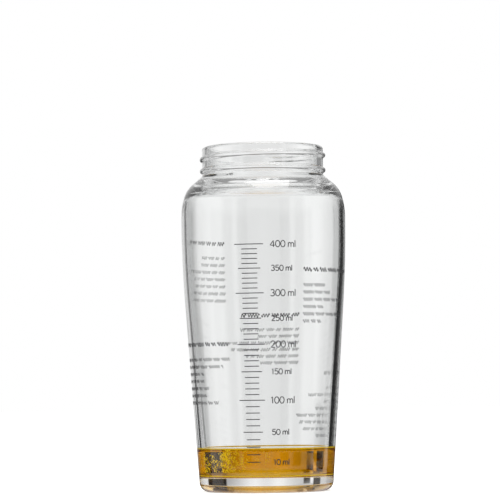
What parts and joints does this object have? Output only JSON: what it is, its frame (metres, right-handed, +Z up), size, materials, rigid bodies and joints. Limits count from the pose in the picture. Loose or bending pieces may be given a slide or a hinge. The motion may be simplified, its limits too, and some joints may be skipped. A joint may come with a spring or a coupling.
{
  "type": "salad dressing shaker bottle",
  "caption": "Clear glass shaker bottle with a threaded neck and a printed volume scale, its screw lid with a flip-top spout set down beside it.",
  "frame": {"origin": "centre of the bottle's foot ring, in the plane that the bottle and the lid stand on", "axes": "+Z up along the bottle's axis, +X towards the lid, -Y towards the side with the volume scale"},
  "size_m": [0.2307, 0.0812, 0.17],
  "materials": {
    "clear_glass": "clear, polished",
    "cap_plastic": "fine moulded grain",
    "sleeve_steel": "brushed round the band",
    "seal_silicone": "soft, slightly cloudy",
    "spout_plastic": "smooth",
    "flap_plastic": "fine moulded grain",
    "pin_steel": "ground",
    "scale_print": "fired screen print",
    "olive_oil": "clear amber liquid"
  },
  "bodies": {
    "bottle": {"glass_bottle": "clear_glass"},
    "lid": {"screw_cap": "cap_plastic", "cap_sleeve": "sleeve_steel", "cap_gasket": "seal_silicone", "pour_spout": "spout_plastic", "hinge_pin": "pin_steel"},
    "flap": {"flip_lid": "flap_plastic", "flip_plug": "seal_silicone"}
  },
  "joints": [
    {"name": "lid_lift", "type": "slide", "parent": "bottle", "child": "lid", "axis": [0, 0, 1], "range_m": [0, 0.175]},
    {"name": "flap_hinge", "type": "hinge", "parent": "lid", "child": "flap", "pos_m": [0.155, 0.0095, 0.0227], "axis": [-1, 0, 0], "range_deg": [0, 110]}
  ]
}
